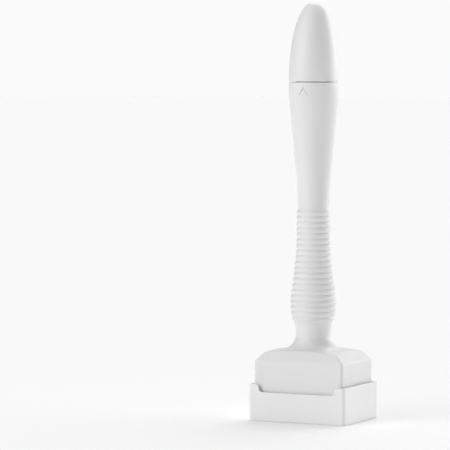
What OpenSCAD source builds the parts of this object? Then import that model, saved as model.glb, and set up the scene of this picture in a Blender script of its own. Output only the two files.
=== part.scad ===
// Micro-needle stamp with a twist dial, standing on its protective cap.
// Turning the dial at the top drives a lead screw, and a nut on that screw
// carries a rectangular block of fine needles down through the guide plate in
// the foot. The cap lifts off downwards before use.
// Millimetres, +Z up. The origin is the middle of the cap's underside, X runs
// along the foot's long side, and the index mark faces -Y.

/* [Overall] */
// Height from the cap's underside to the dial's tip
total_h = 127.4; // [106:0.1:155]
// Outside length of the protective cap, along X
cap_l = 32.2; // [26.8:0.1:39]
// Outside width of the protective cap, along Y
cap_w = 24.8; // [20.6:0.1:30]

/* [Cap] */
// Wall of the cap
cap_wall = 0.7; // [0.6:0.1:1.1]
// Floor of the cap
cap_floor = 1.4; // [1:0.1:2.4]
// Gap between the cap's wall and the head
cap_gap = 0.55; // [0.35:0.05:0.7]
// How far the cap reaches up over the head
cap_overlap = 5.3; // [4.4:0.1:8]
// Room left under the needles when they are fully out
tip_room = 1.8; // [1.6:0.1:3]
// Depth of the finger notch in each long side of the cap
notch_depth = 2.4; // [1.5:0.1:3]
// Plain length left at each end of a long side, beside the notch
notch_end = 2.3; // [1.8:0.1:4]
// Radius of the cap's vertical corners
cap_corner = 0.9; // [0.5:0.1:2]
// Chamfer around the cap's underside
cap_chamfer = 0.4; // [0.2:0.1:0.8]

/* [Head] */
// Wall of the rectangular head
head_wall = 1.3; // [1:0.1:1.6]
// Radius of the head's vertical corners
head_corner = 0.8; // [0.4:0.1:1]
// Height of the chamfer around the head's top
head_chamfer_h = 2.5; // [1.5:0.1:3]
// How far that chamfer leans in along X
head_inset_x = 2.5; // [1.5:0.1:3.5]
// How far that chamfer leans in along Y
head_inset_y = 1.55; // [1:0.05:2.5]
// Rise of the domed top for each millimetre towards the axis
dome_slope = 0.14; // [0.1:0.01:0.2]
// Depth of the roof below the chamfer's lower edge
roof_step = 0.5; // [0.3:0.1:1]

/* [Handle] */
// Radius of the collar under the dial
collar_r = 7.6; // [7.2:0.1:9.2]
// Radius at the waist
waist_r = 4.8; // [4.6:0.1:6]
// Radius between the ribs where the grip swells most
swell_r = 6.7; // [5.6:0.05:8]
// Radius of the plain neck above the head
neck_r = 5.42; // [5.2:0.02:6.6]
// Spread of the flare from the neck into the head
flare_spread = 3.2; // [2.5:0.1:4]
// Height of that flare
flare_h = 3.8; // [2.5:0.1:5]
// Number of grip ribs
rib_count = 20; // [12:1:24]
// Height of one rib
rib_h = 0.38; // [0.2:0.02:0.6]
// Length of the index mark
mark_h = 2.4; // [1.5:0.1:3]
// Width of the index mark at its foot
mark_w = 3; // [1.5:0.1:4]
// Width of the groove that draws the mark
mark_groove = 0.4; // [0.2:0.02:0.5]
// Depth of that groove
mark_depth = 0.35; // [0.1:0.05:0.4]

/* [Dial] */
// Height of the dial above the seam
dial_h = 23.9; // [22:0.1:28]
// Radius of the small flat at the dial's tip
dial_tip_r = 1.6; // [1:0.1:2.5]
// Fullness of the dial's outline, where 2 is an ellipse
dial_fullness = 2.2; // [2:0.1:3]
// Wall of the dial's hollow nose
dial_wall = 1.5; // [1.2:0.1:1.8]
// Wall of the dial's skirt
skirt_wall = 1.5; // [1.4:0.1:1.7]
// Open seam between the dial and the collar
seam_gap = 0.3; // [0.2:0.05:0.5]
// How far inside the collar's edge the lip that closes the seam stands
seam_lip = 0.6; // [0.4:0.1:1.2]
// Turn from stop to stop, in degrees
dial_turn = 320; // [270:5:325]

/* [Drive] */
// Radius of the lead screw
screw_r = 2; // [1.6:0.1:2.4]
// Wall of the brass bushes and of the nut
brass_wall = 0.9; // [0.8:0.1:1.2]
// Length of the lower bush
lower_bush_h = 8; // [5:1:12]
// Length of the bearing's spigot inside the dial
spigot_h = 6.25; // [6.2:0.05:8]
// Depth of the bearing's seat in the handle
bearing_seat_h = 8; // [6.5:0.5:10]
// Length of the drive nut
nut_h = 9.3; // [7:0.1:11]
// Radius of the stop pin and of the cross pin
dowel_r = 0.5; // [0.4:0.05:0.6]
// Thickness of the thrust washer
washer_t = 0.5; // [0.3:0.1:0.8]
// Thickness of the retaining ring and of the screw clip
clip_t = 0.7; // [0.5:0.1:0.8]
// Section radius of the friction ring
oring_r = 0.65; // [0.5:0.05:0.7]

/* [Needles] */
// Needle travel from stop to stop
needle_travel = 3.2; // [2.4:0.1:4]
// Distance between needles
needle_pitch = 1.4; // [1.2:0.1:2]
// Radius of a needle
needle_r = 0.15; // [0.12:0.01:0.2]
// Length of a needle's ground tip
needle_tip_h = 1.1; // [0.6:0.1:1.5]
// Radius of a needle's head
needle_head_r = 0.35; // [0.25:0.05:0.4]
// Height of a needle's head
needle_head_h = 0.4; // [0.3:0.05:0.6]
// How deep the tips hide in the guide plate at rest
tip_recess = 0.2; // [0.1:0.05:0.5]
// Thickness of the guide plate
guide_t = 1.6; // [1.2:0.1:2]
// Thickness of the backing plate
backing_t = 1.4; // [1.2:0.1:2]
// Thickness of the needle carrier's block
carrier_t = 4.6; // [4.2:0.1:6]
// Strip kept free of needles at each short end, for the guide posts
post_zone = 4.3; // [4.2:0.1:5]
// Strip kept free of needles along each long side
side_zone = 3.1; // [3:0.1:4]
// Radius of a guide post
post_r = 0.75; // [0.6:0.05:0.8]
// Wire of a return spring
spring_wire = 0.35; // [0.25:0.05:0.4]
// Radius of a carrier screw's shank
carrier_screw_r = 0.6; // [0.5:0.05:0.7]

/* [Fits] */
// Radial clearance of a running fit
running = 0.05; // [0.02:0.01:0.08]
// Clearance between parts that slide past each other
slide_gap = 0.2; // [0.15:0.05:0.3]
// Clearance between parts that must never touch
free_gap = 0.3; // [0.2:0.05:0.4]

/* [Hidden] */
$fn = 64;
eps = 0.01;

// Heights, from the floor up
plate_recess = 0.2;
needle_out = needle_travel - tip_recess;
head_z = cap_floor + needle_out - plate_recess + tip_room;
cap_h = head_z + cap_overlap;
guide_z = head_z + plate_recess;
guide_top = guide_z + guide_t;
backing_z = guide_top + needle_travel + free_gap;
carrier_z = backing_z + backing_t;
carrier_top = carrier_z + carrier_t;
roof_z = carrier_top + roof_step;
chamfer_z = roof_z + roof_step;
corner_z = chamfer_z + head_chamfer_h;

// The head's and the foot's rectangles
head_l = cap_l - 2 * (cap_wall + cap_gap);
head_w = cap_w - 2 * (cap_wall + cap_gap);
room_l = head_l - 2 * head_wall;
room_w = head_w - 2 * head_wall;
block_l = room_l - 2 * slide_gap;
block_w = room_w - 2 * slide_gap;
corner_reach = norm([head_l / 2 - head_inset_x, head_w / 2 - head_inset_y]);

// The handle's outline
flare_r = neck_r + flare_spread;
flare_z = corner_z + dome_slope * (corner_reach - flare_r);
neck_z = flare_z + flare_h;
seam_z = total_h - dial_h;
handle_top = seam_z - seam_gap / 2;
dial_z = seam_z + seam_gap / 2;
lip_top = dial_z - 2 * running;
stem_h = seam_z - neck_z;
swell_start = neck_z + 0.038 * stem_h;
swell_z = neck_z + 0.121 * stem_h;
waist_low = neck_z + 0.436 * stem_h;
waist_high = neck_z + 0.502 * stem_h;
collar_z = neck_z + 0.98 * stem_h;
rib_low = neck_z + 0.057 * stem_h;
rib_high = neck_z + 0.498 * stem_h;
rib_pitch = (rib_high - rib_low) / rib_count;
flare_fullness = 1.6;

// The drive line
bore_r = screw_r + running;
brass_r = bore_r + brass_wall;
boss_r = brass_r + 0.7;
neck_bore = boss_r + free_gap;
nut_z = carrier_z + needle_head_h + 0.9;
nut_top = nut_z + nut_h;
screw_z = nut_z + free_gap;
lower_bush_z = nut_top + 0.7;
lower_bush_top = lower_bush_z + lower_bush_h;
shaft_bore = screw_r + 1.3;
bearing_z = handle_top - bearing_seat_h;
bearing_r = collar_r - 1.7;
spigot_r = bearing_r - 0.4;
spigot_top = handle_top + spigot_h;
clip_z = bearing_z + 2.6;
upper_bush_z = clip_z + clip_t + 0.2;
clip_r = brass_r + 0.8;
groove_r = screw_r - 0.5;
skirt_bore = collar_r - skirt_wall;
ring_z = spigot_top - 2.95;
ring_r = skirt_bore + 0.25;
oring_z = ring_z - 1.95;
oring_centre = skirt_bore - running - oring_r;
hub_z = spigot_top + washer_t + running;
hub_disc_z = hub_z + 1.65;
hub_top = hub_disc_z + 2;
hub_boss_top = hub_top + 4;
cross_z = hub_top + 2;
screw_top = hub_boss_top - 0.5;
stop_orbit = spigot_r - dowel_r - 0.2;
land_r = stop_orbit - dowel_r - 0.15;
washer_r = land_r - free_gap;
lug_r = stop_orbit + dowel_r + running;
stop_gap = 2;
pin_half_angle = asin(dowel_r / stop_orbit);
lug_half_angle = (360 - dial_turn) / 2 - pin_half_angle - stop_gap;
stop_angle = 90;

// The needle field
needle_cols = floor((room_l - 2 * post_zone) / needle_pitch) + 1;
needle_rows = floor((room_w - 2 * side_zone) / needle_pitch) + 1;
field_l = (needle_cols - 1) * needle_pitch;
field_w = (needle_rows - 1) * needle_pitch;
post_x = (block_l + field_l) / 4 + needle_head_r / 2;
screw_x = post_x;
screw_y = (block_w + field_w) / 4 + needle_head_r / 2;
tip_z = guide_z + tip_recess;
spring_r = post_r + spring_wire + 0.15;
spring_well_r = spring_r + slide_gap;
spring_well_h = 2;
spring_top = carrier_z + spring_well_h;

// Soft-ended ramp from 0 to 1: a and b are the shares rounded at its two ends
function soft_ramp(t, a, b) =
    let (slope = 1 / (1 - a / 2 - b / 2))
    t <= 0 ? 0 :
    t < a ? slope * t * t / (2 * a) :
    t < 1 - b ? slope * (t - a / 2) :
    t < 1 ? 1 - slope * (1 - t) * (1 - t) / (2 * b) : 1;

// Radius of the handle between its ribs, at height z
function stem_r(z) =
    z <= swell_start ? neck_r :
    z < swell_z ? neck_r + (swell_r - neck_r)
        * sin(90 * (z - swell_start) / (swell_z - swell_start)) :
    z < waist_low ? waist_r + (swell_r - waist_r)
        * soft_ramp((waist_low - z) / (waist_low - swell_z), 0.7, 0.2) :
    z < waist_high ? waist_r :
    waist_r + (collar_r - waist_r)
        * soft_ramp((z - waist_high) / (collar_z - waist_high), 0.3, 0.15);

// Height of the rib over that radius
function rib_rise(z) =
    z <= rib_low || z >= rib_high ? 0 :
    rib_h * abs(sin(180 * (z - rib_low) / rib_pitch));

// Radius of the dial at a height above the seam, closing on its flat tip
function dial_r(h) =
    let (reach = dial_h / sqrt(1 - pow(dial_tip_r / collar_r, dial_fullness)))
    collar_r * pow(1 - pow(h / reach, 2), 1 / dial_fullness);

// Points up one side of the flare, from its foot to the neck
flare_steps = 10;
flare_points = [
    for (i = [0:flare_steps])
        let (u = sin(90 * i / flare_steps))
        [flare_r - flare_spread * pow(u, 2 / flare_fullness),
         neck_z - flare_h * pow(max(0, 1 - u * u), 1 / flare_fullness)]
];

// Points up the handle's side, closer together along the ribs
rib_steps = 8;
stem_points = concat(
    [for (i = [0:5]) let (z = neck_z + (rib_low - neck_z) * (i + 1) / 7)
        [stem_r(z), z]],
    [for (i = [0:rib_count * rib_steps])
        let (z = rib_low + (rib_high - rib_low) * i / (rib_count * rib_steps))
        [stem_r(z) + rib_rise(z), z]],
    [for (i = [1:24]) let (z = rib_high + (handle_top - rib_high) * i / 24)
        [stem_r(z), z]]
);

module rounded_rect(l, w, r) {
    square([l - 2 * r, w], center = true);
    square([l, w - 2 * r], center = true);
    for (x = [-1, 1], y = [-1, 1])
        translate([x * (l / 2 - r), y * (w / 2 - r)]) circle(r);
}

module block(l, w, h, r = 0.5) {
    linear_extrude(h) rounded_rect(l, w, r);
}

module tube(r_out, r_in, h) {
    rotate_extrude() translate([r_in, 0]) square([r_out - r_in, h]);
}

module needle_grid() {
    for (i = [0:needle_cols - 1], j = [0:needle_rows - 1])
        translate([i * needle_pitch - field_l / 2, j * needle_pitch - field_w / 2])
            children();
}

module both_posts() {
    for (side = [-1, 1]) translate([side * post_x, 0, 0]) children();
}

module four_screws() {
    for (x = [-1, 1], y = [-1, 1])
        translate([x * screw_x, y * screw_y, 0]) children();
}

// Side view of a block whose bottom edges are chamfered
module chamfered_side(l, h, c) {
    polygon([[-l / 2 + c, 0], [l / 2 - c, 0], [l / 2, c], [l / 2, h],
             [-l / 2, h], [-l / 2, c]]);
}

// Outline of the notch: flat floor, hollow foot and rounded shoulder
module notch_outline() {
    r = notch_depth / 2;
    half = cap_l / 2 - notch_end - 2 * r;
    translate([-half, 0]) square([2 * half, notch_depth + 1]);
    for (side = [-1, 1]) {
        translate([side * half, r]) circle(r);
        translate([side * half - r, r]) square([2 * r, notch_depth + 1 - r]);
        difference() {
            translate([side * (half + 1.5 * r) - r / 2, r])
                square([r, notch_depth + 1 - r]);
            translate([side * (half + 2 * r), r]) circle(r);
        }
    }
}

module protective_cap() {
    inner_l = cap_l - 2 * cap_wall;
    inner_w = cap_w - 2 * cap_wall;
    rest_w = 1.2;
    rest_in = cap_gap + 1;
    color("white") difference() {
        intersection() {
            block(cap_l, cap_w, cap_h, cap_corner);
            rotate([90, 0, 0]) linear_extrude(cap_w + 2, center = true)
                chamfered_side(cap_l, cap_h, cap_chamfer);
            rotate([90, 0, 90]) linear_extrude(cap_l + 2, center = true)
                chamfered_side(cap_w, cap_h, cap_chamfer);
        }
        difference() {
            translate([0, 0, cap_floor]) block(inner_l, inner_w, cap_h);
            // Posts along the walls that the head's rim rests on
            for (side = [-1, 1], k = [-1, 1]) {
                translate([side * (inner_l - rest_in) / 2, k * inner_w / 4, 0])
                    linear_extrude(head_z) square([rest_in, rest_w], center = true);
                translate([k * inner_l / 4, side * (inner_w - rest_in) / 2, 0])
                    linear_extrude(head_z) square([rest_w, rest_in], center = true);
            }
        }
        translate([0, 0, cap_h - notch_depth]) rotate([90, 0, 0])
            linear_extrude(cap_w + 2, center = true) notch_outline();
    }
}

// Solid outline of the head: straight walls, chamfer, shallow dome, flare
module head_solid() {
    top = neck_z - chamfer_z;
    lean_x = head_inset_x / head_chamfer_h * top;
    lean_y = head_inset_y / head_chamfer_h * top;
    far_r = norm([head_l, head_w]) / 2;
    intersection() {
        translate([0, 0, head_z]) block(head_l, head_w, neck_z - head_z, head_corner);
        rotate([90, 0, 0]) linear_extrude(head_w + 2, center = true)
            polygon([[-head_l / 2, head_z], [head_l / 2, head_z],
                     [head_l / 2, chamfer_z], [head_l / 2 - lean_x, neck_z],
                     [lean_x - head_l / 2, neck_z], [-head_l / 2, chamfer_z]]);
        rotate([90, 0, 90]) linear_extrude(head_l + 2, center = true)
            polygon([[-head_w / 2, head_z], [head_w / 2, head_z],
                     [head_w / 2, chamfer_z], [head_w / 2 - lean_y, neck_z],
                     [lean_y - head_w / 2, neck_z], [-head_w / 2, chamfer_z]]);
        rotate_extrude() polygon(concat(
            [[0, head_z - 1], [far_r, head_z - 1],
             [far_r, flare_z - dome_slope * (far_r - flare_r)]],
            flare_points, [[0, neck_z]]));
    }
}

// Two strokes that meet at the top, cut into the collar's front
module index_mark() {
    lean = atan2(mark_w / 2, mark_h);
    stroke = norm([mark_w / 2, mark_h]);
    apex_z = handle_top - 1.6;
    for (side = [-1, 1])
        translate([0, mark_depth - collar_r, apex_z]) rotate([0, side * lean, 0])
            translate([-mark_groove / 2, -2, -stroke])
                cube([mark_groove, 2, stroke]);
}

module handle_body() {
    cone_top = bearing_z - 1;
    color("white") difference() {
        union() {
            head_solid();
            rotate_extrude() polygon(concat(
                [[0, roof_z + 1], [neck_r, roof_z + 1], [neck_r, neck_z]],
                stem_points,
                [[collar_r - seam_lip, handle_top], [collar_r - seam_lip, lip_top],
                 [0, lip_top]]));
        }
        // Room for the needle block
        translate([0, 0, head_z - 1]) block(room_l, room_w, roof_z - head_z + 1);
        // Bores for the nut's boss, the lower bush, the screw and the bearing
        rotate_extrude() polygon([
            [0, roof_z - 1], [neck_bore, roof_z - 1], [neck_bore, lower_bush_top],
            [shaft_bore, lower_bush_top], [shaft_bore, waist_high],
            [bearing_r - 1, cone_top], [bearing_r - 1, bearing_z],
            [bearing_r, bearing_z], [bearing_r, dial_z], [0, dial_z]]);
        both_posts() translate([0, 0, roof_z - 1]) cylinder(r = post_r, h = 2.2);
        // Pockets for the guide plate's snaps
        guide_snaps(running);
        index_mark();
    }
}

// Four small catches on the guide plate's long edges
module guide_snaps(gap) {
    for (side = [-1, 1], k = [-1, 1])
        translate([k * room_l / 4, side * (room_w / 2 - 0.1), guide_z + guide_t / 2])
            cube([3 + 2 * gap, 0.8 + 2 * gap, 0.6 + 2 * gap], center = true);
}

module guide_plate() {
    edge = 0.1;
    color("white") difference() {
        union() {
            translate([0, 0, guide_z]) linear_extrude(guide_t) difference() {
                rounded_rect(room_l - 2 * edge, room_w - 2 * edge, 0.6);
                needle_grid() circle(needle_r + 2 * running, $fn = 24);
            }
            guide_snaps(0);
        }
        both_posts() translate([0, 0, guide_top - 1]) cylinder(r = post_r, h = 2);
    }
}

module guide_posts() {
    color("silver") both_posts() translate([0, 0, guide_top - 1])
        cylinder(r = post_r, h = roof_z + 1.1 - guide_top + 1);
}

module return_springs() {
    color("lightgrey") both_posts() translate([0, 0, guide_top])
        tube(spring_r, spring_r - spring_wire, spring_top - guide_top);
}

// Shoulders, spigot, grooves and through bore turned as one outline
module dial_bearing() {
    groove_in = oring_centre - oring_r;
    ring_in = spigot_r - 0.6;
    color("whitesmoke") difference() {
        rotate_extrude() polygon([
            [clip_r + free_gap, bearing_z], [bearing_r, bearing_z],
            [bearing_r, handle_top], [spigot_r, handle_top],
            [spigot_r, oring_z - oring_r - running], [groove_in, oring_z - oring_r - running],
            [groove_in, oring_z + oring_r + running], [spigot_r, oring_z + oring_r + running],
            [spigot_r, ring_z - running], [ring_in, ring_z - running],
            [ring_in, ring_z + clip_t + running], [spigot_r, ring_z + clip_t + running],
            [spigot_r, spigot_top], [brass_r, spigot_top],
            [brass_r, upper_bush_z], [clip_r + free_gap, upper_bush_z]]);
        stop_pin_at(spigot_top - 1.6) cylinder(r = dowel_r, h = 4);
    }
}

module stop_pin_at(z) {
    rotate([0, 0, stop_angle]) translate([stop_orbit, 0, z]) children();
}

module stop_pin() {
    color("silver") stop_pin_at(spigot_top - 1.6)
        cylinder(r = dowel_r, h = hub_disc_z - 0.5 - spigot_top + 1.6);
}

// Split ring that sits in the spigot and catches the dial's inner groove
module retaining_ring() {
    opening = 40;
    color("silver") rotate([0, 0, opening / 2 - 90]) translate([0, 0, ring_z])
        rotate_extrude(angle = 360 - opening)
            translate([spigot_r - 0.6, 0]) square([ring_r - spigot_r + 0.6, clip_t]);
}

module friction_ring() {
    color("dimgray") translate([0, 0, oring_z]) rotate_extrude()
        translate([oring_centre, 0]) circle(oring_r);
}

module thrust_washer() {
    color("silver") translate([0, 0, spigot_top]) tube(washer_r, bore_r, washer_t);
}

module upper_bush() {
    color("goldenrod") translate([0, 0, upper_bush_z])
        tube(brass_r, bore_r, spigot_top - upper_bush_z);
}

module lower_bush() {
    color("goldenrod") translate([0, 0, lower_bush_z])
        tube(neck_bore, bore_r, lower_bush_h);
}

module dial_knob() {
    steps = 24;
    nose_top = dial_h - 2.5;
    nose_low = hub_top - seam_z;
    groove_low = ring_z - 0.2;
    groove_high = ring_z + clip_t + 0.25;
    outside = [for (i = [0:steps])
        let (h = seam_gap / 2 + (dial_h - seam_gap / 2) * sin(90 * i / steps))
        [dial_r(h), seam_z + h]];
    inside = [for (i = [12:-1:0])
        let (h = nose_low + (nose_top - nose_low) * i / 12)
        [max(dial_tip_r / 2, dial_r(h) - dial_wall), seam_z + h]];
    color("white") rotate_extrude() polygon(concat(
        [[skirt_bore, dial_z]], outside,
        [[0, total_h], [0, seam_z + nose_top]], inside,
        [[skirt_bore, hub_top], [skirt_bore, groove_high],
         [ring_r + running, groove_high], [ring_r + running, groove_low],
         [skirt_bore, groove_low]]));
}

module dial_hub() {
    rest_angle = stop_angle + pin_half_angle + stop_gap / 2;
    color("whitesmoke") difference() {
        union() {
            rotate_extrude() polygon([
                [screw_r, hub_z], [land_r, hub_z], [land_r, hub_disc_z],
                [skirt_bore, hub_disc_z], [skirt_bore, hub_top], [boss_r, hub_top],
                [boss_r, hub_boss_top], [screw_r, hub_boss_top]]);
            // Lug that meets the stop pin at both ends of the turn
            rotate([0, 0, rest_angle]) translate([0, 0, spigot_top + free_gap])
                rotate_extrude(angle = 2 * lug_half_angle)
                    translate([land_r - 0.1, 0])
                        square([lug_r - land_r + 0.1,
                                hub_disc_z - spigot_top - free_gap + eps]);
        }
        translate([0, 0, cross_z]) rotate([0, 90, 0])
            cylinder(r = dowel_r, h = 4 * boss_r, center = true);
    }
}

module cross_pin() {
    color("silver") translate([0, 0, cross_z]) rotate([0, 90, 0])
        cylinder(r = dowel_r, h = 2 * boss_r - 0.2, center = true);
}

module lead_screw() {
    color("silver") difference() {
        rotate_extrude() polygon([
            [0, screw_z], [screw_r - 0.4, screw_z], [screw_r, screw_z + 0.4],
            [screw_r, clip_z - running], [groove_r, clip_z - running],
            [groove_r, clip_z + clip_t + running], [screw_r, clip_z + clip_t + running],
            [screw_r, screw_top], [0, screw_top]]);
        translate([0, 0, cross_z]) rotate([0, 90, 0])
            cylinder(r = dowel_r, h = 4 * screw_r, center = true);
    }
}

module screw_clip() {
    opening = 70;
    color("dimgray") rotate([0, 0, opening / 2]) translate([0, 0, clip_z])
        rotate_extrude(angle = 360 - opening)
            translate([groove_r, 0]) square([clip_r - groove_r, clip_t]);
}

module needle_carrier() {
    pocket_h = needle_head_h + 0.1;
    pocket_l = field_l + 2 * needle_head_r + 0.6;
    pocket_w = field_w + 2 * needle_head_r + 0.6;
    color("whitesmoke") difference() {
        union() {
            translate([0, 0, carrier_z]) block(block_l, block_w, carrier_t, 0.8);
            translate([0, 0, carrier_z]) cylinder(r = boss_r, h = nut_top - carrier_z);
        }
        translate([0, 0, carrier_z - 1]) block(pocket_l, pocket_w, pocket_h + 1);
        translate([0, 0, nut_z]) cylinder(r = brass_r, h = nut_h + 1);
        both_posts() {
            translate([0, 0, carrier_z - 1])
                cylinder(r = post_r + running, h = carrier_t + 2);
            translate([0, 0, carrier_z - 1])
                cylinder(r = spring_well_r, h = spring_well_h + 1);
        }
        four_screws() translate([0, 0, carrier_z - 1])
            cylinder(r = carrier_screw_r, h = carrier_t);
    }
}

module drive_nut() {
    color("goldenrod") translate([0, 0, nut_z]) tube(brass_r, bore_r, nut_h);
}

module backing_plate() {
    color("silver") difference() {
        translate([0, 0, backing_z]) linear_extrude(backing_t) difference() {
            rounded_rect(block_l, block_w, 0.8);
            needle_grid() circle(needle_r, $fn = 24);
            for (side = [-1, 1])
                translate([side * post_x, 0]) circle(spring_well_r);
            four_screws() circle(carrier_screw_r);
        }
        four_screws() translate([0, 0, backing_z - 1])
            cylinder(r = carrier_screw_r + 0.55, h = 1.7);
    }
}

module carrier_screws() {
    head_h = 0.6;
    socket_r = 0.35;
    color("silver") four_screws() translate([0, 0, backing_z + 0.1])
        difference() {
            union() {
                cylinder(r = carrier_screw_r + 0.45, h = head_h);
                cylinder(r = carrier_screw_r, h = backing_t + carrier_t - 1.6);
            }
            translate([0, 0, -1]) cylinder(r = socket_r, h = 1.4, $fn = 6);
        }
}

// One needle per hole: head, shank and ground point in one outline
module needles() {
    color("gold") needle_grid() rotate_extrude($fn = 24) polygon([
        [0, tip_z], [needle_r, tip_z + needle_tip_h], [needle_r, carrier_z],
        [needle_head_r, carrier_z], [needle_head_r, carrier_z + needle_head_h],
        [0, carrier_z + needle_head_h]]);
}

protective_cap();
handle_body();
dial_bearing();
retaining_ring();
friction_ring();
thrust_washer();
stop_pin();
upper_bush();
lower_bush();
guide_plate();
guide_posts();
return_springs();
dial_knob();
dial_hub();
cross_pin();
lead_screw();
screw_clip();
needle_carrier();
drive_nut();
backing_plate();
carrier_screws();
needles();
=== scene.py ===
"""Looks of the micro-needle stamp: moulded shells, turned and wound metal, studio and camera.

Everything is in the frame's own axes. Sizes are in millimetres here and become metres as a mesh
is made. A shell is lofted from rings: each ring is an array of points, and all rings of one shell
have the same number of points.
"""

import math

import bmesh
import bpy
import numpy as np
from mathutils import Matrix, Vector


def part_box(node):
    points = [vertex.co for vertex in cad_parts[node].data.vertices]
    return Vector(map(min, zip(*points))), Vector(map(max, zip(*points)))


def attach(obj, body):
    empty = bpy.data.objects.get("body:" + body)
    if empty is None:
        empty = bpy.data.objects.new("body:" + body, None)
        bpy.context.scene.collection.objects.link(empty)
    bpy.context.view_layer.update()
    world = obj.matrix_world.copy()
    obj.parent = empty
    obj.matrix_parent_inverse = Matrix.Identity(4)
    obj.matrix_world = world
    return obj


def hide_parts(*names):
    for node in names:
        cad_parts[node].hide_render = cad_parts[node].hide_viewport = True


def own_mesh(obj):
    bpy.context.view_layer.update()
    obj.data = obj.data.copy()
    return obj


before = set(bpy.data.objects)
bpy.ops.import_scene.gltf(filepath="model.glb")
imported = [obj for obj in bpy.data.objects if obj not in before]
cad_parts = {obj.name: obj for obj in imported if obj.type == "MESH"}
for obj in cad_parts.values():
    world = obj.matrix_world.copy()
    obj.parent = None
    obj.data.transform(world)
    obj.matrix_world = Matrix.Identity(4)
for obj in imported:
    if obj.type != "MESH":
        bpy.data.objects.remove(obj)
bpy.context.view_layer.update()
MM = 0.001


def span(node):
    """A node's lowest and highest corner, in millimetres."""
    low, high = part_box(node)
    return np.array(low) / MM, np.array(high) / MM


# ---------------------------------------------------------------- sizes from the frame

cap_low, cap_high = span("protective_cap")
head_low, head_high = span("handle_body")
dial_low, dial_high = span("dial_knob")
bush_low, bush_high = span("lower_bush")
bearing_low, bearing_high = span("dial_bearing")
screw_low, screw_high = span("lead_screw")
spring_low, spring_high = span("return_springs")
hub_high = span("dial_hub")[1]
ring_low, ring_high = span("retaining_ring")
clip_low, clip_high = span("screw_clip")
nut_high = span("drive_nut")[1]
post_low, post_high = span("guide_posts")
cross_low, cross_high = span("cross_pin")

CAP_L, CAP_W, CAP_H = cap_high - cap_low
HEAD_L, HEAD_W = (head_high - head_low)[:2]
HEAD_Z, LIP_TOP = head_low[2], head_high[2]
DIAL_Z, TOTAL_H = dial_low[2], dial_high[2]
COLLAR_R = (dial_high[0] - dial_low[0]) / 2

# ---------------------------------------------------------------- sizes of the shells, as built

CAP_WALL = 0.7
CAP_FLOOR = 1.4
CAP_CORNER = 0.9
CAP_INNER_CORNER = 0.5
CAP_FOOT = 0.45
CAP_FLOOR_EDGE = 0.3
CAP_LIP = 0.16
NOTCH_DEPTH = 2.4
NOTCH_END = 2.3
REST_W = 1.2
REST_IN = 1.55
REST_EDGE = 0.12
REST_BURIED = 0.3

HEAD_WALL = 1.3
HEAD_CORNER = 0.8
HEAD_INNER_CORNER = 0.5
HEAD_EDGE = 0.3
MOUTH_EDGE_IN = 0.12
MOUTH_EDGE_OUT = 0.25
ROOF_EDGE = 0.3
ROOM_SPLIT_Z = HEAD_Z + 2
ROOF_Z = 17.8
CHAMFER_Z = 18.3
CHAMFER_H = 2.5
INSET_X = 2.5
INSET_Y = 1.55
DOME_SLOPE = 0.14
NECK_R = 5.42
FLARE_SPREAD = 3.2
FLARE_H = 3.8
FLARE_FULLNESS = 1.6
WAIST_R = 4.8
SWELL_R = 6.7
RIB_COUNT = 20
RIB_H = 0.38
NECK_BORE = (bush_high[0] - bush_low[0]) / 2
NECK_BORE_EDGE = 0.1
SHAFT_BORE = 3.3
BEARING_R = (bearing_high[0] - bearing_low[0]) / 2
BEARING_LEDGE = 1.0
BEARING_EDGE = 0.05
SEAM_GAP = 0.3
SEAM_LIP = 0.6
SEAM_EDGE = 0.1
MARK_H = 2.4
MARK_W = 3.0
MARK_GROOVE = 0.4
MARK_DEPTH = 0.35
MARK_DROP = 1.6
MARK_EDGE = 0.08
MARK_CUTTER_DEPTH = 2

HANDLE_TOP = DIAL_Z - SEAM_GAP
SEAM_Z = DIAL_Z - SEAM_GAP / 2
DIAL_H = TOTAL_H - SEAM_Z
DIAL_TIP_R = 1.6
DIAL_TIP_EDGE = 0.5
DIAL_TIP_RUN = 0.5
DIAL_FULLNESS = 2.2
DIAL_WALL = 1.5
DIAL_NOSE = 2.5
DIAL_NOSE_LOW = hub_high[2] - 4.0
SKIRT_BORE = 6.1
SKIRT_EDGE = 0.1
SKIRT_STRAIGHT = 1.0
SEAT_EDGE = 0.05
RING_GAP_UNDER = 0.2
RING_GAP_OVER = 0.25
RING_GROOVE_DEPTH = 0.3

SCREW_R = (screw_high[0] - screw_low[0]) / 2
THREAD_DEPTH = 0.4
THREAD_STARTS = 3
THREAD_LEAD = 3.6
THREAD_LAYER = 0.06
THREAD_OVER_NUT = 3.0
THREAD_RUN_OUT = 0.8
THREAD_CREST = 0.12
THREAD_FLANK = 0.2
SCREW_LEAD_IN = 0.4
SCREW_END_EDGE = 0.15
CLIP_GROOVE_R = 1.5
CLIP_GAP = 0.05
GROOVE_EDGE = 0.05
DRILL_REACH = 3.0
SPRING_WIRE = 0.35
SPRING_TURNS = 7.5
SPRING_END_SHARE = 0.22

CORNER_Z = CHAMFER_Z + CHAMFER_H
CORNER_REACH = math.hypot(HEAD_L / 2 - INSET_X, HEAD_W / 2 - INSET_Y)
FLARE_R = NECK_R + FLARE_SPREAD
FLARE_Z = CORNER_Z + DOME_SLOPE * (CORNER_REACH - FLARE_R)
NECK_Z = FLARE_Z + FLARE_H
STEM_H = SEAM_Z - NECK_Z
SWELL_START = NECK_Z + 0.038 * STEM_H
SWELL_Z = NECK_Z + 0.121 * STEM_H
WAIST_LOW = NECK_Z + 0.436 * STEM_H
WAIST_HIGH = NECK_Z + 0.502 * STEM_H
COLLAR_Z = NECK_Z + 0.98 * STEM_H
RIB_LOW = NECK_Z + 0.057 * STEM_H
RIB_HIGH = NECK_Z + 0.498 * STEM_H
RIB_PITCH = (RIB_HIGH - RIB_LOW) / RIB_COUNT

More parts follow.
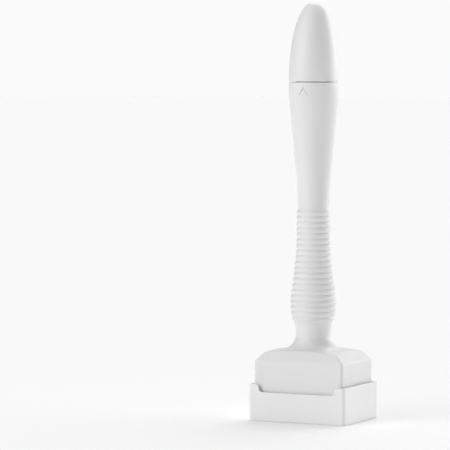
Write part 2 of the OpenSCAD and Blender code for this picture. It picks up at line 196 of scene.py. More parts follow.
# Radius of the small ring that is capped flat where a turned piece ends on its axis
PIN_HOLE = 0.05
SCREW_PIN_HOLE = 0.02

# ---------------------------------------------------------------- mesh helpers


def make_object(name, points, faces):
    """A smooth-shaded mesh object from points in millimetres."""
    mesh = bpy.data.meshes.new(name)
    mesh.from_pydata([tuple(p) for p in np.asarray(points, float) * MM], [], faces)
    bm = bmesh.new()
    bm.from_mesh(mesh)
    bmesh.ops.remove_doubles(bm, verts=bm.verts, dist=1e-7)
    bmesh.ops.recalc_face_normals(bm, faces=bm.faces)
    bm.to_mesh(mesh)
    bm.free()
    mesh.shade_smooth()
    made = bpy.data.objects.new(name, mesh)
    bpy.context.scene.collection.objects.link(made)
    return made


def loft(name, rings, wrap=False, fill=True):
    """Joins rings with quads. With wrap the last ring meets the first; fill closes both ends."""
    rings = [np.asarray(r, float) for r in rings]
    count = len(rings[0])
    points = np.concatenate(rings)
    faces = []
    for j in range(len(rings) if wrap else len(rings) - 1):
        here, there = j * count, (j + 1) % len(rings) * count
        for k in range(count):
            n = (k + 1) % count
            faces.append((here + k, here + n, there + n, there + k))
    if fill and not wrap:
        faces.append(tuple(range(count)))
        faces.append(tuple(range((len(rings) - 1) * count, len(rings) * count)))
    return make_object(name, points, faces)


def level(outline, z):
    """A plan outline as a ring at one height."""
    return np.column_stack([outline, np.full(len(outline), float(z))])


def circle(radius, angles):
    """Points of a circle in plan, at these angles."""
    return radius * np.column_stack([np.cos(angles), np.sin(angles)])


def rounded(corners, radii, steps=4):
    """Rounds the bends of a run of rings. Each ring keeps its place where its radius is 0."""
    rings = []
    last = len(corners) - 1
    for i, (ring, radius) in enumerate(zip(corners, radii)):
        if radius == 0 or i in (0, last):
            rings.append(ring)
            continue
        legs = []
        for other in (corners[i - 1], corners[i + 1]):
            away = other - ring
            length = np.maximum(np.linalg.norm(away, axis=1, keepdims=True), 1e-9)
            legs.append(ring + away / length * np.minimum(radius, 0.48 * length))
        for t in np.linspace(0, 1, steps + 1):
            rings.append((1 - t) ** 2 * legs[0] + 2 * t * (1 - t) * ring + t * t * legs[1])
    return rings


def even_flats(made, angle=35.0):
    """Keeps large flat faces looking flat beside their rounded edges."""
    made.data.set_sharp_from_angle(angle=math.radians(angle))
    keep = made.modifiers.new("flat_faces", "WEIGHTED_NORMAL")
    keep.keep_sharp = True
    keep.weight = 80


def bake_modifiers(made):
    """Applies a mesh object's modifiers."""
    layer = bpy.context.evaluated_depsgraph_get()
    layer.update()
    mesh = bpy.data.meshes.new_from_object(made.evaluated_get(layer))
    made.modifiers.clear()
    old = made.data
    made.data = mesh
    bpy.data.meshes.remove(old)


def combine(made, tools, operation):
    """Cuts or joins helper objects into a piece and removes them."""
    for tool in tools:
        step = made.modifiers.new("step", "BOOLEAN")
        step.operation = operation
        step.solver = "EXACT"
        step.object = tool
    bake_modifiers(made)
    for tool in tools:
        bpy.data.objects.remove(tool)


def rounded_box(name, low, high, edge):
    """A box with rounded edges, from its lowest to its highest corner."""
    low, high = np.array(low, float), np.array(high, float)
    bm = bmesh.new()
    bmesh.ops.create_cube(bm, size=1.0)
    for v in bm.verts:
        v.co = Vector((low + (np.array(v.co) + 0.5) * (high - low)) * MM)
    bmesh.ops.bevel(bm, geom=bm.edges[:], offset=edge * MM, segments=3, profile=0.5, affect="EDGES")
    mesh = bpy.data.meshes.new(name)
    bm.to_mesh(mesh)
    bm.free()
    mesh.shade_smooth()
    made = bpy.data.objects.new(name, mesh)
    bpy.context.scene.collection.objects.link(made)
    return made


# ---------------------------------------------------------------- outlines

SIDE_X_STEPS = 64
SIDE_Y_STEPS = 42
CORNER_STEPS = 8
TOP_STEPS = 40
TOP_FINE_STEPS = 400
EDGE_HALVINGS = 40
NECK_STEPS = 9
RIB_STEPS = 12
WAIST_STEPS = 61
DIAL_SEGMENTS = 192
DIAL_NOSE_STEPS = 24
DIAL_STEPS = 72
NOTCH_STEPS = 15
NOTCH_END_STEPS = 6
NOTCH_FLAT_STEPS = 20
CAP_END_STEPS = 24
CAP_BEND_STEPS = 10
CAP_LIP_STEPS = 6
CAP_FOOT_STEPS = 6
SCREW_SEGMENTS = 72
DRILL_SEGMENTS = 32
SPRING_STEPS = 24
WIRE_SEGMENTS = 10


def rect_outline(length, width, radius):
    """A rounded rectangle, anticlockwise from its +X side, its sides even in angle about Z."""
    a, b = length / 2, width / 2
    reach_y = math.atan2(b - radius, a)
    reach_x = math.atan2(a - radius, b)
    side_y = a * np.tan(np.linspace(-reach_y, reach_y, SIDE_Y_STEPS))
    side_x = b * np.tan(np.linspace(reach_x, -reach_x, SIDE_X_STEPS))
    bend = np.linspace(0, math.pi / 2, CORNER_STEPS + 2)[1:-1]
    arc = radius * np.column_stack([np.cos(bend), np.sin(bend)])
    half = np.concatenate([
        np.column_stack([np.full(SIDE_Y_STEPS, a), side_y]),
        arc + (a - radius, b - radius),
        np.column_stack([side_x, np.full(SIDE_X_STEPS, b)]),
        arc[::-1] * (-1, 1) + (radius - a, b - radius)])
    return np.concatenate([half, -half])


def soft_ramp(t, a, b):
    """A ramp from 0 to 1 whose ends are rounded over the shares a and b."""
    slope = 1 / (1 - a / 2 - b / 2)
    if t <= 0:
        return 0.0
    if t < a:
        return slope * t * t / (2 * a)
    if t < 1 - b:
        return slope * (t - a / 2)
    if t < 1:
        return 1 - slope * (1 - t) ** 2 / (2 * b)
    return 1.0


def stem_radius(z):
    """The handle's radius between its ribs."""
    if z <= SWELL_START:
        return NECK_R
    if z < SWELL_Z:
        share = math.sin(math.pi / 2 * (z - SWELL_START) / (SWELL_Z - SWELL_START))
        return NECK_R + (SWELL_R - NECK_R) * share
    if z < WAIST_LOW:
        share = soft_ramp((WAIST_LOW - z) / (WAIST_LOW - SWELL_Z), 0.7, 0.2)
        return WAIST_R + (SWELL_R - WAIST_R) * share
    share = soft_ramp((z - WAIST_HIGH) / (COLLAR_Z - WAIST_HIGH), 0.3, 0.15)
    return WAIST_R + (COLLAR_R - WAIST_R) * share


def rib_rise(z):
    """How far the ribs stand over the stem's radius."""
    if not RIB_LOW < z < RIB_HIGH:
        return 0.0
    return RIB_H * abs(math.sin(math.pi * (z - RIB_LOW) / RIB_PITCH))


def top_height(reach):
    """Height of the head's domed top and its flare at a distance from the axis."""
    u = np.clip((FLARE_R - reach) / FLARE_SPREAD, 0, 1)
    rise = FLARE_H * (1 - (1 - u ** FLARE_FULLNESS) ** (1 / FLARE_FULLNESS))
    return FLARE_Z + rise - DOME_SLOPE * np.maximum(reach - FLARE_R, 0)


def dial_radius(height):
    """The dial's radius at a height over the seam."""
    reach = DIAL_H / math.sqrt(1 - (DIAL_TIP_R / COLLAR_R) ** DIAL_FULLNESS)
    return COLLAR_R * (1 - (height / reach) ** 2) ** (1 / DIAL_FULLNESS)


# ---------------------------------------------------------------- moulded shells


def make_handle():
    """Head, flare, ribbed grip, waist and collar as one moulding, with its room and bores."""
    outer = rect_outline(HEAD_L, HEAD_W, HEAD_CORNER)
    inner = rect_outline(HEAD_L - 2 * HEAD_WALL, HEAD_W - 2 * HEAD_WALL, HEAD_INNER_CORNER)
    half = np.array([HEAD_L / 2, HEAD_W / 2])
    lean = np.array([INSET_X, INSET_Y])

    def chamfer_ring(share):
        share = np.asarray(share).reshape(-1, 1)
        return outer * (1 - share * lean / half)

    # Where the chamfer meets the domed top, found column by column
    low, high = np.zeros(len(outer)), np.full(len(outer), 2.0)
    for _ in range(EDGE_HALVINGS):
        mid = (low + high) / 2
        under = CHAMFER_Z + mid * CHAMFER_H < top_height(np.linalg.norm(chamfer_ring(mid), axis=1))
        low, high = np.where(under, mid, low), np.where(under, high, mid)
    edge = chamfer_ring(low)
    edge_ring = np.column_stack([edge, CHAMFER_Z + low * CHAMFER_H])
    angles = np.arctan2(edge[:, 1], edge[:, 0])
    reach = np.linalg.norm(edge, axis=1)

    # From that edge to the neck, evenly by length along each column
    fine = 1 - (1 - np.linspace(0, 1, TOP_FINE_STEPS)) ** 2
    radii = reach[:, None] + (NECK_R - reach)[:, None] * fine[None, :]
    heights = top_height(radii)
    run = np.concatenate([np.zeros((len(outer), 1)), np.cumsum(
        np.hypot(np.diff(radii, axis=1), np.diff(heights, axis=1)), axis=1)], axis=1)
    top_rings = []
    columns = range(len(outer))
    for share in np.linspace(0, 1, TOP_STEPS)[1:]:
        r = np.array([np.interp(share * run[k, -1], run[k], radii[k]) for k in columns])
        z = np.array([np.interp(share * run[k, -1], run[k], heights[k]) for k in columns])
        top_rings.append(np.column_stack([circle(1, angles) * r[:, None], z]))

    def stem_ring(z, radius=None):
        radius = stem_radius(z) + rib_rise(z) if radius is None else radius
        return level(circle(radius, angles), z)

    stem_heights = list(np.linspace(NECK_Z, RIB_LOW, NECK_STEPS)[1:-1])
    stem_heights += list(np.linspace(RIB_LOW, RIB_HIGH, RIB_COUNT * RIB_STEPS + 1))
    stem_heights += list(np.linspace(RIB_HIGH, HANDLE_TOP, WAIST_STEPS)[1:-1])
    shell = rounded(
        [level(inner, ROOM_SPLIT_Z), level(inner, HEAD_Z), level(outer, HEAD_Z),
         level(outer, CHAMFER_Z), edge_ring, top_rings[0]],
        [0, MOUTH_EDGE_IN, MOUTH_EDGE_OUT, HEAD_EDGE, HEAD_EDGE, 0])[:-1]
    shell += top_rings
    shell += [stem_ring(z) for z in stem_heights]

    # Radius, height and rounding of each step of the bore, from the collar down to the room
    ledge_r, ledge_z = BEARING_R - BEARING_LEDGE, bearing_low[2]
    bore = [
        (COLLAR_R, HANDLE_TOP, SEAM_EDGE), (COLLAR_R - SEAM_LIP, HANDLE_TOP, 0),
        (COLLAR_R - SEAM_LIP, LIP_TOP, BEARING_EDGE), (BEARING_R, LIP_TOP, BEARING_EDGE),
        (BEARING_R, ledge_z, 0), (ledge_r, ledge_z, 0), (ledge_r, ledge_z - BEARING_LEDGE, 0),
        (SHAFT_BORE, WAIST_HIGH, 0), (SHAFT_BORE, bush_high[2], 0), (NECK_BORE, bush_high[2], 0),
        (NECK_BORE, ROOF_Z, NECK_BORE_EDGE)]
    inside = [shell[-1]] + [stem_ring(z, r) for r, z, _ in bore]
    inside += [level(inner, ROOF_Z), level(inner, ROOM_SPLIT_Z)]
    shell += rounded(inside, [0] + [edge for _, _, edge in bore] + [ROOF_EDGE, 0])[1:-1]
    return loft("handle_shell", shell, wrap=True)


def cut_index_mark(handle):
    """Two strokes that meet at the top, cut into the collar's front."""
    stroke = math.hypot(MARK_W / 2, MARK_H)
    tools = []
    for side in (-1, 1):
        tool = rounded_box(
            f"stroke_{side}", (-MARK_GROOVE / 2, -MARK_CUTTER_DEPTH, -stroke),
            (MARK_GROOVE / 2, 0, MARK_GROOVE / 2), MARK_EDGE)
        tool.rotation_euler = (0, side * math.atan2(MARK_W / 2, MARK_H), 0)
        tool.location = Vector((0, MARK_DEPTH - COLLAR_R, HANDLE_TOP - MARK_DROP)) * MM
        tools.append(tool)
    bpy.context.view_layer.update()
    combine(handle, tools, "DIFFERENCE")


def make_dial():
    """Bullet-shaped dial, hollow, with its skirt and the groove for the retaining ring."""
    angles = np.linspace(0, 2 * math.pi, DIAL_SEGMENTS + 1)[:-1]

    def ring(radius, z):
        return level(circle(radius, angles), z)

    nose_low, nose_top = DIAL_NOSE_LOW - SEAM_Z, DIAL_H - DIAL_NOSE
    groove_low, groove_high = ring_low[2] - RING_GAP_UNDER, ring_high[2] + RING_GAP_OVER
    groove_r = SKIRT_BORE + RING_GROOVE_DEPTH
    inside = [ring(PIN_HOLE, SEAM_Z + nose_top)]
    inside += [
        ring(max(DIAL_TIP_R / 2, dial_radius(h) - DIAL_WALL), SEAM_Z + h)
        for h in np.linspace(nose_top, nose_low, DIAL_NOSE_STEPS)]
    skirt = [
        inside[-1], ring(SKIRT_BORE, SEAM_Z + nose_low), ring(SKIRT_BORE, groove_high),
        ring(groove_r, groove_high), ring(groove_r, groove_low), ring(SKIRT_BORE, groove_low),
        ring(SKIRT_BORE, DIAL_Z), ring(COLLAR_R, DIAL_Z),
        ring(dial_radius(SKIRT_STRAIGHT), SEAM_Z + SKIRT_STRAIGHT)]
    skirt = rounded(skirt, [0, SEAT_EDGE, 0, 0, 0, 0, SKIRT_EDGE, SEAM_EDGE, 0])[1:]
    quarter = np.sin(np.linspace(0, math.pi / 2, DIAL_STEPS))
    rise = SKIRT_STRAIGHT + (DIAL_H - DIAL_TIP_RUN - SKIRT_STRAIGHT) * quarter
    outside = [ring(dial_radius(h), SEAM_Z + h) for h in rise[1:]]
    tip = rounded(
        [outside[-1], ring(DIAL_TIP_R, TOTAL_H), ring(PIN_HOLE, TOTAL_H)],
        [0, DIAL_TIP_EDGE, 0])[1:]
    return loft("dial_shell", inside + skirt + outside + tip)


def notch_side(half_length, corner):
    """One long side of the cap from +X to -X: place along X, rim height, rim's inward normal."""
    r = NOTCH_DEPTH / 2
    flat = CAP_L / 2 - NOTCH_END - 2 * r
    bottom = CAP_H - NOTCH_DEPTH
    shoulder = np.linspace(half_length - corner, flat + 2 * r, NOTCH_END_STEPS)[:-1]
    rows = [(x, CAP_H, 0.0, -1.0) for x in shoulder]
    for t in np.linspace(0, math.pi / 2, NOTCH_STEPS)[:-1]:
        s, c = math.sin(t), math.cos(t)
        rows.append((flat + 2 * r - r * s, bottom + r + r * c, s, -c))
    for t in np.linspace(0, math.pi / 2, NOTCH_STEPS):
        s, c = math.sin(t), math.cos(t)
        rows.append((flat + r * c, bottom + r - r * s, c, -s))
    rows += [(x, bottom, 0.0, -1.0) for x in np.linspace(flat, 0, NOTCH_FLAT_STEPS)[1:]]
    mirror = [(-x, z, -nx, nz) for x, z, nx, nz in reversed(rows[:-1])]
    return np.array(rows + mirror)


def make_cap():
    """Open box with a finger notch in each long side, and posts that the head rests on."""
    a, b = CAP_L / 2, CAP_W / 2
    side = notch_side(a, CAP_CORNER)
    bend = np.linspace(0, math.pi / 2, CAP_BEND_STEPS)[1:-1]

    def column_rows(inset, corner):
        """Plan place, rim height and rim normal of every column, for one wall face."""
        a_in, b_in = a - inset, b - inset
        far = a - NOTCH_END
        rows = []

        def plain(x, y):
            rows.append([x, y, CAP_H, 0.0, 0.0, -1.0])

        for sign in (1, -1):
            for y in np.linspace(-(b_in - corner), b_in - corner, CAP_END_STEPS):
                plain(sign * a_in, sign * y)
            for t in bend:
                plain(sign * (a_in - corner + corner * math.cos(t)),
                      sign * (b_in - corner + corner * math.sin(t)))
            for x, z, nx, nz in side:
                if abs(x) > far:
                    share = (abs(x) - far) / (a - CAP_CORNER - far)
                    x = math.copysign(far + share * (a_in - corner - far), x)
                rows.append([sign * x, sign * b_in, z, sign * nx, 0.0, nz])
            for t in bend[::-1]:
                plain(-sign * (a_in - corner + corner * math.cos(t)),
                      sign * (b_in - corner + corner * math.sin(t)))
        return np.array(rows)

    outer = column_rows(0.0, CAP_CORNER)
    inner = column_rows(CAP_WALL, CAP_INNER_CORNER)
    across = inner[:, :2] - outer[:, :2]
    across /= np.linalg.norm(across, axis=1, keepdims=True)

    def rim(rows, deep, aside, side_sign):
        """The rim's line moved into the material by deep, and into the wall by aside."""
        place = rows[:, :2] + rows[:, 3:5] * deep + across * aside * side_sign
        return np.column_stack([place, rows[:, 2] + rows[:, 5] * deep])

    quarter = np.linspace(0, math.pi / 2, CAP_LIP_STEPS)
    lip = [CAP_LIP * (1 - math.cos(t)) for t in quarter]
    drop = [CAP_LIP * (1 - math.sin(t)) for t in quarter]
    top_outer = [rim(outer, d, i, 1) for d, i in zip(drop, lip)]
    top_inner = [rim(inner, d, i, -1) for d, i in zip(reversed(drop), reversed(lip))]
    foot_outer = np.column_stack([top_outer[0][:, :2], np.zeros(len(outer))])
    foot_inner = np.column_stack([top_inner[-1][:, :2], np.full(len(outer), CAP_FLOOR)])
    under = [level(foot_outer[:, :2] * share, 0) for share in (0.02, 0.9)]
    within = [level(foot_inner[:, :2] * share, CAP_FLOOR) for share in (0.85, 0.02)]
    rings = rounded(
        under + [foot_outer, top_outer[0]], [0, 0, CAP_FOOT, 0], steps=CAP_FOOT_STEPS)
    rings += top_outer[1:] + top_inner
    rings += rounded([top_inner[-1], foot_inner] + within, [0, CAP_FLOOR_EDGE, 0, 0])[1:]
    cap = loft("cap_shell", rings)

    inner_a, inner_b = a - CAP_WALL, b - CAP_WALL
    low, half = CAP_FLOOR - REST_BURIED, REST_W / 2
    posts = []
    for sx in (-1, 1):
        for sy in (-1, 1):
            y = sy * inner_b / 2
            xs = sorted((sx * (inner_a - REST_IN), sx * (inner_a + REST_BURIED)))
            posts.append(rounded_box(
                "post", (xs[0], y - half, low), (xs[1], y + half, HEAD_Z), REST_EDGE))
            x = sx * inner_a / 2
            ys = sorted((sy * (inner_b - REST_IN), sy * (inner_b + REST_BURIED)))
            posts.append(rounded_box(
                "post", (x - half, ys[0], low), (x + half, ys[1], HEAD_Z), REST_EDGE))
    combine(cap, posts, "UNION")
    return cap


# ---------------------------------------------------------------- turned and wound metal


def make_screw():
    """Shaft with its clip groove and cross hole, and a three-start thread low on it."""
    angles = np.linspace(0, 2 * math.pi, SCREW_SEGMENTS + 1)[:-1]
    thread_top = nut_high[2] + THREAD_OVER_NUT
    rings = []
    for z in np.arange(screw_low[2] + SCREW_LEAD_IN, thread_top, THREAD_LAYER):
        turn = (angles / (2 * math.pi) - z / THREAD_LEAD) * THREAD_STARTS % 1.0
        flank = np.clip((np.abs(turn - 0.5) - THREAD_CREST) / THREAD_FLANK, 0, 1)
        fade = min(1.0, (thread_top - z) / THREAD_RUN_OUT)
        radius = SCREW_R - THREAD_DEPTH * flank * fade
        rings.append(level(circle(1, angles) * radius[:, None], z))
    start = [
        level(circle(r, angles), screw_low[2]) for r in (SCREW_PIN_HOLE, SCREW_R - THREAD_DEPTH)]
    groove_low, groove_high = clip_low[2] - CLIP_GAP, clip_high[2] + CLIP_GAP
    shaft = [
        (SCREW_R, thread_top, 0), (SCREW_R, groove_low, GROOVE_EDGE),
        (CLIP_GROOVE_R, groove_low, 0), (CLIP_GROOVE_R, groove_high, 0),
        (SCREW_R, groove_high, GROOVE_EDGE), (SCREW_R, screw_high[2], SCREW_END_EDGE),
        (SCREW_PIN_HOLE, screw_high[2], 0)]
    end = rounded(
        [level(circle(r, angles), z) for r, z, _ in shaft], [edge for _, _, edge in shaft])
    screw = loft("screw_threaded", start + rings + end)
    middle = (cross_low[2] + cross_high[2]) / 2
    tall = (cross_high[2] - cross_low[2]) / 2
    across = np.linspace(0, 2 * math.pi, DRILL_SEGMENTS + 1)[:-1]
    side, up = tall * np.cos(across), middle + tall * np.sin(across)
    drill = [
        np.column_stack([np.full(DRILL_SEGMENTS, x), side, up])
        for x in (-DRILL_REACH, DRILL_REACH)]
    combine(screw, [loft("drill", drill)], "DIFFERENCE")
    return screw


def make_springs():
    """Two compression springs, wound round the guide posts, with closed ends."""
    wire = SPRING_WIRE / 2
    width = (spring_high[1] - spring_low[1]) / 2
    coil_r = width - wire
    post_x = post_high[0] - (post_high[1] - post_low[1]) / 2
    bottom, top = spring_low[2] + wire, spring_high[2] - wire
    turns = np.linspace(0, SPRING_TURNS, int(SPRING_TURNS * SPRING_STEPS) + 1)
    share = np.array([
        soft_ramp(t / SPRING_TURNS, SPRING_END_SHARE, SPRING_END_SHARE) for t in turns])
    around = np.linspace(0, 2 * math.pi, WIRE_SEGMENTS + 1)[:-1]
    points, faces = [], []
    for side in (-1, 1):
        first = len(points)
        for t, s in zip(turns, share):
            a = 2 * math.pi * t
            out, up = np.array([math.cos(a), math.sin(a), 0]), np.array([0, 0, 1])
            middle = np.array([side * post_x, 0, bottom + (top - bottom) * s]) + coil_r * out
            points += [middle + wire * (math.cos(b) * out + math.sin(b) * up) for b in around]
        count = len(around)
        for j in range(len(turns) - 1):
            for k in range(count):
                n = (k + 1) % count
                here, there = first + j * count, first + (j + 1) * count
                faces.append((here + k, here + n, there + n, there + k))
        last = first + (len(turns) - 1) * count
        faces.append(tuple(range(first, first + count)))
        faces.append(tuple(range(last, last + count)))
    return make_object("springs_wound", points, faces)


# ---------------------------------------------------------------- materials


def new_material(name):
    """A material with its node tree and its shader."""
    material = bpy.data.materials.new(name)
    material.use_nodes = True
    tree = material.node_tree
    return material, tree, tree.nodes["Principled BSDF"]


def noise(tree, scale, detail=3.0, rough=0.5, stretch=(1, 1, 1)):
    """A noise over the object's own coordinates; scale counts features in a metre."""
    place = tree.nodes.new("ShaderNodeTexCoord")
    map_to = tree.nodes.new("ShaderNodeMapping")
    map_to.inputs["Scale"].default_value = stretch
    made = tree.nodes.new("ShaderNodeTexNoise")
    made.inputs["Scale"].default_value = scale
    made.inputs["Detail"].default_value = detail
    made.inputs["Roughness"].default_value = rough
    tree.links.new(place.outputs["Object"], map_to.inputs["Vector"])
    tree.links.new(map_to.outputs["Vector"], made.inputs["Vector"])
    return made.outputs["Fac"]


def ramp(tree, source, low, high, start=0.3, end=0.7):
    """Turns a noise into a run between two colours."""
    made = tree.nodes.new("ShaderNodeValToRGB")
    made.color_ramp.elements[0].position = start
    made.color_ramp.elements[1].position = end
    made.color_ramp.elements[0].color = (*low, 1)
    made.color_ramp.elements[1].color = (*high, 1)
    tree.links.new(source, made.inputs["Fac"])
    return made.outputs["Color"]


def spread(tree, source, low, high):
    """Turns a noise into a run between two numbers."""
    made = tree.nodes.new("ShaderNodeMapRange")
    made.inputs["From Min"].default_value = 0.3
    made.inputs["From Max"].default_value = 0.7
    made.inputs["To Min"].default_value = low
    made.inputs["To Max"].default_value = high
    tree.links.new(source, made.inputs["Value"])
    return made.outputs["Result"]


def relief(tree, layers):
    """Stacks bumps: each layer is a noise with its height in millimetres."""
    last = None
    for source, height in layers:
        made = tree.nodes.new("ShaderNodeBump")
        made.inputs["Strength"].default_value = 1.0
        made.inputs["Distance"].default_value = height * MM
        tree.links.new(source, made.inputs["Height"])
        if last:
            tree.links.new(last, made.inputs["Normal"])
        last = made.outputs["Normal"]
    return last


def moulded_plastic(name, white, rough, grain=0.006):
    """Satin injection-moulded plastic: faint flow clouding and a fine spark-eroded grain."""
    material, tree, shader = new_material(name)
    cloud = noise(tree, 90, detail=4)
    grain_noise = noise(tree, 5200, detail=2, rough=0.6)
    low = tuple(c * 0.985 for c in white)
    tree.links.new(ramp(tree, cloud, low, white), shader.inputs["Base Color"])
    patchy = noise(tree, 420, detail=3)
    tree.links.new(
        spread(tree, patchy, rough - 0.04, rough + 0.04), shader.inputs["Roughness"])
    tree.links.new(relief(tree, [(cloud, 0.02), (grain_noise, grain)]), shader.inputs["Normal"])
    shader.inputs["IOR"].default_value = 1.5
    shader.inputs["Specular IOR Level"].default_value = 0.5
    return material


def turned_metal(name, low, high, rough, ring_scale=4000):
    """Metal turned on a lathe about Z, with fine tool rings."""
    material, tree, shader = new_material(name)
    rings = noise(tree, ring_scale, detail=2, stretch=(0.02, 0.02, 1))
    stain = noise(tree, 260, detail=4)
    tree.links.new(ramp(tree, stain, low, high), shader.inputs["Base Color"])
    tree.links.new(spread(tree, rings, rough - 0.08, rough + 0.08), shader.inputs["Roughness"])
    tree.links.new(relief(tree, [(rings, 0.004)]), shader.inputs["Normal"])
    shader.inputs["Metallic"].default_value = 1.0
    return material


def moulded_rubber(name):
    """Dark rubber with a dusty bloom."""
    material, tree, shader = new_material(name)
    bloom = noise(tree, 1500, detail=5, rough=0.65)
    low, high = (0.012, 0.012, 0.012), (0.035, 0.034, 0.033)
    tree.links.new(ramp(tree, bloom, low, high), shader.inputs["Base Color"])
    tree.links.new(spread(tree, bloom, 0.6, 0.8), shader.inputs["Roughness"])
    tree.links.new(relief(tree, [(bloom, 0.01)]), shader.inputs["Normal"])
    return material


def needle_metal(name):
    """Titanium with a gold tone, ground along the needle."""
    material, tree, shader = new_material(name)
    ground = noise(tree, 9000, detail=2, stretch=(1, 1, 0.05))
    tint = noise(tree, 700, detail=2)
    low, high = (0.62, 0.46, 0.2), (0.78, 0.62, 0.32)
    tree.links.new(ramp(tree, tint, low, high), shader.inputs["Base Color"])
    tree.links.new(spread(tree, ground, 0.2, 0.34), shader.inputs["Roughness"])
    tree.links.new(relief(tree, [(ground, 0.003)]), shader.inputs["Normal"])
    shader.inputs["Metallic"].default_value = 1.0
    return material


WHITE = (0.84, 0.84, 0.84)
SHELL = moulded_plastic("satin_white_shell", WHITE, 0.34)
CAP_WHITE = moulded_plastic("satin_white_cap", (0.9, 0.9, 0.9), 0.34)
INNER = moulded_plastic("natural_plastic", (0.74, 0.74, 0.72), 0.5, grain=0.01)
STEEL = turned_metal("turned_steel", (0.5, 0.5, 0.51), (0.62, 0.62, 0.63), 0.32)
SPRING_STEEL = turned_metal("spring_steel", (0.36, 0.36, 0.37), (0.48, 0.48, 0.5), 0.35)
BRASS = turned_metal("turned_brass", (0.66, 0.47, 0.2), (0.8, 0.6, 0.29), 0.3)
RUBBER = moulded_rubber("black_rubber")
NEEDLE = needle_metal("gold_titanium")

# ---------------------------------------------------------------- pieces


def add_piece(piece, body, node, material):
    """Puts a piece on its body in place of a CAD node."""
    piece.data.materials.clear()
    piece.data.materials.append(material)
    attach(piece, body)
    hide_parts(node)


def finish_nodes(material, *nodes):
    """Gives CAD nodes that stay visible their material."""
    for node in nodes:
        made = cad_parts[node]
        made.data.materials.clear()
        made.data.materials.append(material)


handle_shell = make_handle()
cut_index_mark(handle_shell)
even_flats(handle_shell)
add_piece(handle_shell, "handle", "handle_body", SHELL)

dial_shell = make_dial()
even_flats(dial_shell)
add_piece(dial_shell, "dial", "dial_knob", SHELL)

cap_shell = make_cap()
even_flats(cap_shell)
add_piece(cap_shell, "cap", "protective_cap", CAP_WHITE)

screw_threaded = make_screw()
even_flats(screw_threaded)
add_piece(screw_threaded, "dial", "lead_screw", STEEL)

springs_wound = make_springs()
add_piece(springs_wound, "handle", "return_springs", SPRING_STEEL)
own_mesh(springs_wound)

finish_nodes(INNER, "guide_plate", "needle_carrier", "dial_bearing", "dial_hub")
finish_nodes(
    STEEL, "thrust_washer", "stop_pin", "cross_pin", "guide_posts", "carrier_screws",
    "backing_plate")
finish_nodes(SPRING_STEEL, "retaining_ring", "screw_clip")
finish_nodes(BRASS, "upper_bush", "lower_bush", "drive_nut")
finish_nodes(RUBBER, "friction_ring")
finish_nodes(NEEDLE, "needles")

# ---------------------------------------------------------------- camera, floor and light

CAMERA_TURN = 25.1
CAMERA_FAR = 869.0
CAMERA_HIGH = 104.2
CAMERA_YAW = 1.79
CAMERA_PITCH = 2.93
CAMERA_LENS = 227.0
CAMERA_SENSOR = 36.0

BACKDROP = 0.965
FLOOR_SIZE = 30.0
FLOOR_SHADE = 0.96
FLOOR_GLOW = 0.03

# Turn from -Y towards +X and rise in degrees, focus and strength
SOFTBOXES = {
    "front_left": (326, 10, 14, 2.35),
    "front_left_high": (332, 40, 10, 1.15),
    "left": (292, 5, 12, 0.3),
    "front_high": (352, 58, 8, 0.35),
    "right": (120, 0, 16, 3.1),
    "back_right": (147, 0, 22, 4.4),
    "back": (172, 5, 12, 1.1),
    "back_high": (183, 48, 24, 2.9),
    "back_left": (215, 15, 8, 0.25),
    "top": (188, 73, 11, 1.9),
}
ROOM_FILL = 0.09


def make_camera():
    """A long lens from the front, a little to the right."""
    data = bpy.data.cameras.new("camera")
    data.lens = CAMERA_LENS
    data.sensor_width = CAMERA_SENSOR
    data.clip_start = 0.05
    data.clip_end = 100.0
    camera = bpy.data.objects.new("camera", data)
    bpy.context.scene.collection.objects.link(camera)
    turn = math.radians(CAMERA_TURN)
    camera.location = MM * Vector(
        (math.sin(turn) * CAMERA_FAR, -math.cos(turn) * CAMERA_FAR, CAMERA_HIGH))
    camera.rotation_euler = (
        math.radians(90.0 - CAMERA_PITCH), 0.0, turn + math.radians(CAMERA_YAW))
    bpy.context.scene.camera = camera


def make_floor():
    """A plain pale floor, wide enough to meet the backdrop."""
    bm = bmesh.new()
    bmesh.ops.create_grid(bm, x_segments=4, y_segments=4, size=FLOOR_SIZE / 2)
    mesh = bpy.data.meshes.new("floor")
    bm.to_mesh(mesh)
    bm.free()
    floor = bpy.data.objects.new("floor", mesh)
    bpy.context.scene.collection.objects.link(floor)
    material, tree, shader = new_material("pale_floor")
    shader.inputs["Base Color"].default_value = (FLOOR_SHADE, FLOOR_SHADE, FLOOR_SHADE, 1)
    shader.inputs["Roughness"].default_value = 1.0
    shader.inputs["Specular IOR Level"].default_value = 0.0
    shader.inputs["Emission Color"].default_value = (1, 1, 1, 1)
    shader.inputs["Emission Strength"].default_value = FLOOR_GLOW
    mesh.materials.append(material)


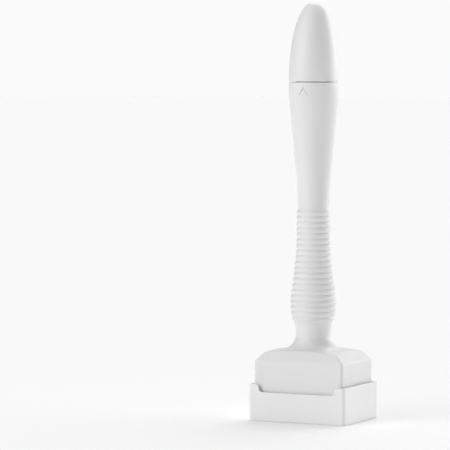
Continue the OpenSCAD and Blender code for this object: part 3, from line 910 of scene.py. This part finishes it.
def make_room_light():
    """A white studio with broad softboxes, behind a plain backdrop that only the camera sees."""
    world = bpy.data.worlds.new("studio")
    bpy.context.scene.world = world
    world.use_nodes = True
    tree = world.node_tree
    tree.nodes.clear()
    out = tree.nodes.new("ShaderNodeOutputWorld")
    place = tree.nodes.new("ShaderNodeTexCoord")
    total = None
    for turn, rise, focus, strength in SOFTBOXES.values():
        turn, rise = math.radians(turn), math.radians(rise)
        flat = math.cos(rise)
        towards = Vector((math.sin(turn) * flat, -math.cos(turn) * flat, math.sin(rise)))
        facing = tree.nodes.new("ShaderNodeVectorMath")
        facing.operation = "DOT_PRODUCT"
        facing.inputs[1].default_value = towards * focus
        tree.links.new(place.outputs["Generated"], facing.inputs[0])
        away = tree.nodes.new("ShaderNodeMath")
        away.operation = "SUBTRACT"
        away.inputs[1].default_value = focus
        tree.links.new(facing.outputs["Value"], away.inputs[0])
        glow = tree.nodes.new("ShaderNodeMath")
        glow.operation = "EXPONENT"
        tree.links.new(away.outputs["Value"], glow.inputs[0])
        add = tree.nodes.new("ShaderNodeMath")
        add.operation = "MULTIPLY_ADD"
        add.inputs[1].default_value = strength
        add.inputs[2].default_value = ROOM_FILL
        tree.links.new(glow.outputs["Value"], add.inputs[0])
        if total:
            tree.links.new(total, add.inputs[2])
        total = add.outputs["Value"]
    room = tree.nodes.new("ShaderNodeBackground")
    room.inputs["Color"].default_value = (1, 1, 1, 1)
    tree.links.new(total, room.inputs["Strength"])
    backdrop = tree.nodes.new("ShaderNodeBackground")
    backdrop.inputs["Color"].default_value = (1, 1, 1, 1)
    backdrop.inputs["Strength"].default_value = BACKDROP
    seen = tree.nodes.new("ShaderNodeLightPath")
    mix = tree.nodes.new("ShaderNodeMixShader")
    tree.links.new(seen.outputs["Is Camera Ray"], mix.inputs["Fac"])
    tree.links.new(room.outputs["Background"], mix.inputs[1])
    tree.links.new(backdrop.outputs["Background"], mix.inputs[2])
    tree.links.new(mix.outputs["Shader"], out.inputs["Surface"])


make_camera()
make_floor()
make_room_light()
bpy.context.scene.view_settings.view_transform = "Standard"
